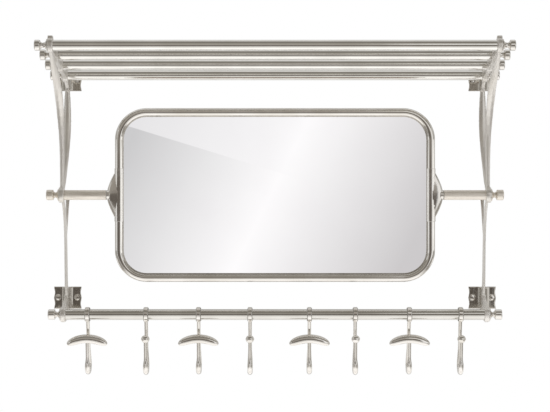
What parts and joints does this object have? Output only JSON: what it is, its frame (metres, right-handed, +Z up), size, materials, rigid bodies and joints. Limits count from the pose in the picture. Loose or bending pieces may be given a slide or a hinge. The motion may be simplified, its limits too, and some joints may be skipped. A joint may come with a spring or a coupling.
{
  "type": "wall rack with tilting mirror and hook rail",
  "caption": "Railway-style wall rack in polished nickel: a sloping tubular luggage shelf, a tilting mirror and a rail of sliding, swinging coat and hat hooks between two cast brackets.",
  "frame": {"origin": "on the wall plane, at the centre of the rectangle of wall screw holes", "axes": "+X to the viewer's right, +Y into the wall, +Z up"},
  "size_m": [1, 0.3002, 0.7264],
  "materials": {
    "polished_nickel": "polished nickel plate on brass",
    "cast_nickel": "polished nickel plate on cast brass",
    "steel": "plain turned steel",
    "nylon": "natural nylon",
    "board": "hardboard",
    "mirror": "silvered glass"
  },
  "bodies": {
    "rack": {"bracket_left": "cast_nickel", "bracket_right": "cast_nickel", "mirror_bar_left": "polished_nickel", "mirror_bar_right": "polished_nickel", "mirror_bar_finial_left": "polished_nickel", "mirror_bar_finial_right": "polished_nickel", "rail_finial_left": "polished_nickel", "rail_finial_right": "polished_nickel", "pivot_stud_left": "steel", "pivot_stud_right": "steel", "pivot_washer_left": "nylon", "pivot_washer_right": "nylon", "shelf_tube_1": "polished_nickel", "shelf_tube_2": "polished_nickel", "shelf_tube_3": "polished_nickel", "shelf_tube_4": "polished_nickel", "shelf_finial_1_left": "polished_nickel", "shelf_finial_1_right": "polished_nickel", "shelf_finial_2_left": "polished_nickel", "shelf_finial_2_right": "polished_nickel", "shelf_finial_3_left": "polished_nickel", "shelf_finial_3_right": "polished_nickel", "shelf_finial_4_left": "polished_nickel", "shelf_finial_4_right": "polished_nickel", "hook_rail": "polished_nickel"},
    "mirror": {"pivot_sleeve_left": "cast_nickel", "pivot_sleeve_right": "cast_nickel", "mirror_frame_top": "polished_nickel", "mirror_frame_bottom": "polished_nickel", "mirror_glass": "mirror", "backing_board": "board", "frame_screws": "steel"},
    "runner_1": {"hook_liner_1": "nylon"},
    "hook_1": {"hat_hook_1": "polished_nickel"},
    "runner_2": {"hook_liner_2": "nylon"},
    "hook_2": {"coat_hook_2": "polished_nickel"},
    "runner_3": {"hook_liner_3": "nylon"},
    "hook_3": {"hat_hook_3": "polished_nickel"},
    "runner_4": {"hook_liner_4": "nylon"},
    "hook_4": {"coat_hook_4": "polished_nickel"},
    "runner_5": {"hook_liner_5": "nylon"},
    "hook_5": {"hat_hook_5": "polished_nickel"},
    "runner_6": {"hook_liner_6": "nylon"},
    "hook_6": {"coat_hook_6": "polished_nickel"},
    "runner_7": {"hook_liner_7": "nylon"},
    "hook_7": {"hat_hook_7": "polished_nickel"},
    "runner_8": {"hook_liner_8": "nylon"},
    "hook_8": {"coat_hook_8": "polished_nickel"}
  },
  "joints": [
    {"name": "mirror_tilt", "type": "hinge", "parent": "rack", "child": "mirror", "pos_m": [0, -0.107, -0.0145], "axis": [1, 0, 0], "range_deg": [-25, 25]},
    {"name": "hook_slide_1", "type": "slide", "parent": "rack", "child": "runner_1", "axis": [1, 0, 0], "range_m": [-0.02, 0.02]},
    {"name": "hook_swing_1", "type": "hinge", "parent": "runner_1", "child": "hook_1", "pos_m": [-0.41285, -0.081, -0.2775], "axis": [1, 0, 0], "range_deg": [-100, 20]},
    {"name": "hook_slide_2", "type": "slide", "parent": "rack", "child": "runner_2", "axis": [1, 0, 0], "range_m": [-0.02, 0.02]},
    {"name": "hook_swing_2", "type": "hinge", "parent": "runner_2", "child": "hook_2", "pos_m": [-0.2841, -0.081, -0.2775], "axis": [1, 0, 0], "range_deg": [-100, 24]},
    {"name": "hook_slide_3", "type": "slide", "parent": "rack", "child": "runner_3", "axis": [1, 0, 0], "range_m": [-0.02, 0.02]},
    {"name": "hook_swing_3", "type": "hinge", "parent": "runner_3", "child": "hook_3", "pos_m": [-0.16841, -0.081, -0.2775], "axis": [1, 0, 0], "range_deg": [-100, 20]},
    {"name": "hook_slide_4", "type": "slide", "parent": "rack", "child": "runner_4", "axis": [1, 0, 0], "range_m": [-0.02, 0.02]},
    {"name": "hook_swing_4", "type": "hinge", "parent": "runner_4", "child": "hook_4", "pos_m": [-0.05505, -0.081, -0.2775], "axis": [1, 0, 0], "range_deg": [-100, 24]},
    {"name": "hook_slide_5", "type": "slide", "parent": "rack", "child": "runner_5", "axis": [1, 0, 0], "range_m": [-0.02, 0.02]},
    {"name": "hook_swing_5", "type": "hinge", "parent": "runner_5", "child": "hook_5", "pos_m": [0.07581, -0.081, -0.2775], "axis": [1, 0, 0], "range_deg": [-100, 20]},
    {"name": "hook_slide_6", "type": "slide", "parent": "rack", "child": "runner_6", "axis": [1, 0, 0], "range_m": [-0.02, 0.02]},
    {"name": "hook_swing_6", "type": "hinge", "parent": "runner_6", "child": "hook_6", "pos_m": [0.1768, -0.081, -0.2775], "axis": [1, 0, 0], "range_deg": [-100, 24]},
    {"name": "hook_slide_7", "type": "slide", "parent": "rack", "child": "runner_7", "axis": [1, 0, 0], "range_m": [-0.02, 0.02]},
    {"name": "hook_swing_7", "type": "hinge", "parent": "runner_7", "child": "hook_7", "pos_m": [0.29576, -0.081, -0.2775], "axis": [1, 0, 0], "range_deg": [-100, 20]},
    {"name": "hook_slide_8", "type": "slide", "parent": "rack", "child": "runner_8", "axis": [1, 0, 0], "range_m": [-0.02, 0.02]},
    {"name": "hook_swing_8", "type": "hinge", "parent": "runner_8", "child": "hook_8", "pos_m": [0.40865, -0.081, -0.2775], "axis": [1, 0, 0], "range_deg": [-100, 24]}
  ]
}
